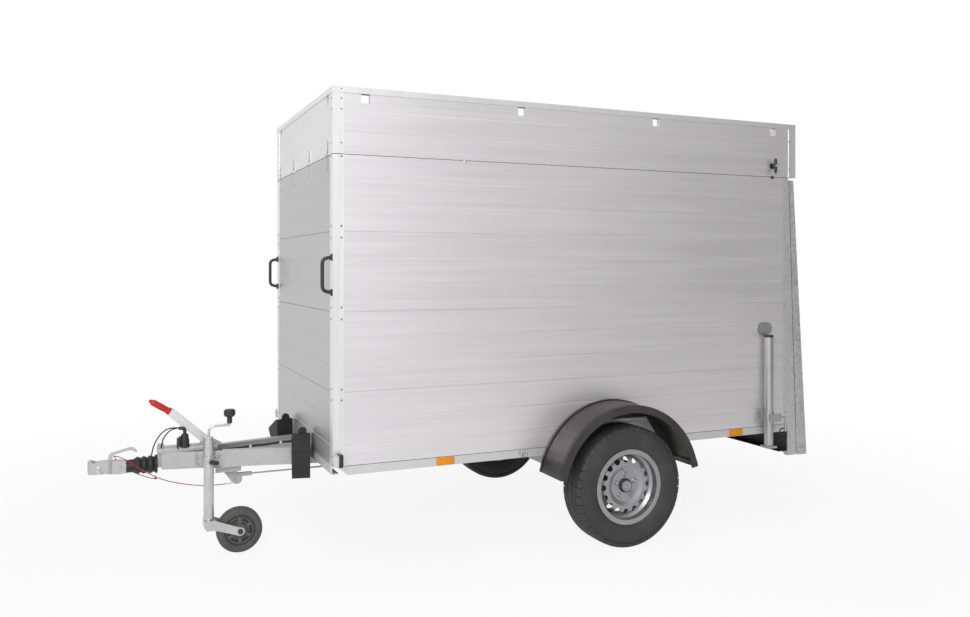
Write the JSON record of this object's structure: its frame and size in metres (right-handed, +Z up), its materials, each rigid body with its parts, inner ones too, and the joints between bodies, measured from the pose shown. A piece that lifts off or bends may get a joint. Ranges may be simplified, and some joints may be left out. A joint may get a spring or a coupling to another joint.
{
  "type": "utility trailer",
  "caption": "Braked single-axle box trailer with high board walls, a tilting upper frame, a rear loading ramp, a jack wheel and rear prop stands.",
  "frame": {"origin": "on the ground, below the middle of the overall length and width", "axes": "+X points forward to the coupling, +Y to the trailer's left, +Z up"},
  "size_m": [3.727, 1.744, 2.176],
  "materials": {
    "anodised": "anodised, brushed along the boards",
    "galvanised": "hot-dip galvanised, spangled",
    "zinc": "zinc plated",
    "floor_board": "film-faced plywood",
    "black_plastic": "moulded black plastic",
    "black_rubber": "moulded rubber",
    "tyre_rubber": "tread rubber",
    "silver_paint": "silver lacquer",
    "black_paint": "black paint",
    "red_plastic": "gloss",
    "lamp_lens": "clear coloured lens",
    "amber_lens": "reflector",
    "blank_plate": "blank",
    "chock_plastic": "moulded"
  },
  "bodies": {
    "chassis": {"side_boards_left": "anodised", "side_boards_right": "anodised", "front_boards": "anodised", "front_covers": "anodised", "rear_posts": "anodised", "side_raves": "galvanised", "front_rave": "galvanised", "drawbar_left": "galvanised", "drawbar_right": "galvanised", "cross_members": "galvanised", "ramp_hinges": "galvanised", "overrun_housing": "galvanised", "axle_tube": "galvanised", "swing_arms": "galvanised", "coupling_handle": "galvanised", "handbrake_lever": "galvanised", "brake_linkage": "galvanised", "jack_clamp": "zinc", "prop_clamps": "zinc", "hinge_lower_leaves": "zinc", "lashing_eyes": "zinc", "chock_holders": "zinc", "floor_panel": "floor_board", "rear_light_board": "black_plastic", "grab_handles": "black_plastic", "mudguards": "black_plastic", "mudguard_stays": "black_plastic", "handbrake_grip": "black_plastic", "trailer_plug": "black_plastic", "bellows": "black_rubber", "plug_leads": "black_rubber", "breakaway_cable": "red_plastic", "coupling_head": "black_paint", "tail_lamps": "lamp_lens", "side_markers": "amber_lens", "number_plate": "blank_plate", "wheel_chocks": "chock_plastic"},
    "upper_frame": {"upper_side_left": "anodised", "upper_side_right": "anodised", "upper_front": "anodised", "rim_sides": "anodised", "upper_rear_posts": "anodised", "upper_front_covers": "anodised", "upper_locks": "black_plastic", "hinge_upper_leaves": "zinc"},
    "ramp": {"ramp_rail_left": "galvanised", "ramp_rail_right": "galvanised", "ramp_deck": "anodised"},
    "left_wheel": {"tyre_left": "tyre_rubber", "rim_left_wheel": "silver_paint", "brake_drum_left": "black_paint"},
    "right_wheel": {"tyre_right": "tyre_rubber", "rim_right_wheel": "silver_paint", "brake_drum_right": "black_paint"},
    "jack_column": {"jack_tube": "zinc", "jack_knob": "black_plastic"},
    "jack_caster": {"jack_fork": "zinc"},
    "jack_roller": {"jack_wheel": "black_rubber"},
    "left_prop": {"prop_left": "zinc"},
    "right_prop": {"prop_right": "zinc"}
  },
  "joints": [
    {"name": "upper_frame_tilt", "type": "hinge", "parent": "chassis", "child": "upper_frame", "pos_m": [0.8768, 0, 1.876], "axis": [0, 1, 0], "range_deg": [0, 80]},
    {"name": "ramp_swing", "type": "hinge", "parent": "chassis", "child": "ramp", "pos_m": [-1.8275, 0, 0.34], "axis": [0, -1, 0], "range_deg": [0, 104]},
    {"name": "left_wheel_spin", "type": "hinge", "parent": "chassis", "child": "left_wheel", "pos_m": [-0.5595, 0.7585, 0.297], "axis": [0, 1, 0], "continuous": true},
    {"name": "right_wheel_spin", "type": "hinge", "parent": "chassis", "child": "right_wheel", "pos_m": [-0.5595, -0.7585, 0.297], "axis": [0, 1, 0], "continuous": true},
    {"name": "jack_slide", "type": "slide", "parent": "chassis", "child": "jack_column", "axis": [0, 0, 1], "range_m": [0, 0.185]},
    {"name": "jack_swivel", "type": "hinge", "parent": "jack_column", "child": "jack_caster", "pos_m": [1.3365, 0.10499, 0.172], "axis": [0, 0, 1], "continuous": true},
    {"name": "jack_wheel_spin", "type": "hinge", "parent": "jack_caster", "child": "jack_roller", "pos_m": [1.1955, 0.10499, 0.1075], "axis": [0, 1, 0], "continuous": true},
    {"name": "left_prop_slide", "type": "slide", "parent": "chassis", "child": "left_prop", "axis": [0, 0, -1], "range_m": [0, 0.366]},
    {"name": "right_prop_slide", "type": "slide", "parent": "chassis", "child": "right_prop", "axis": [0, 0, -1], "range_m": [0, 0.366]}
  ]
}
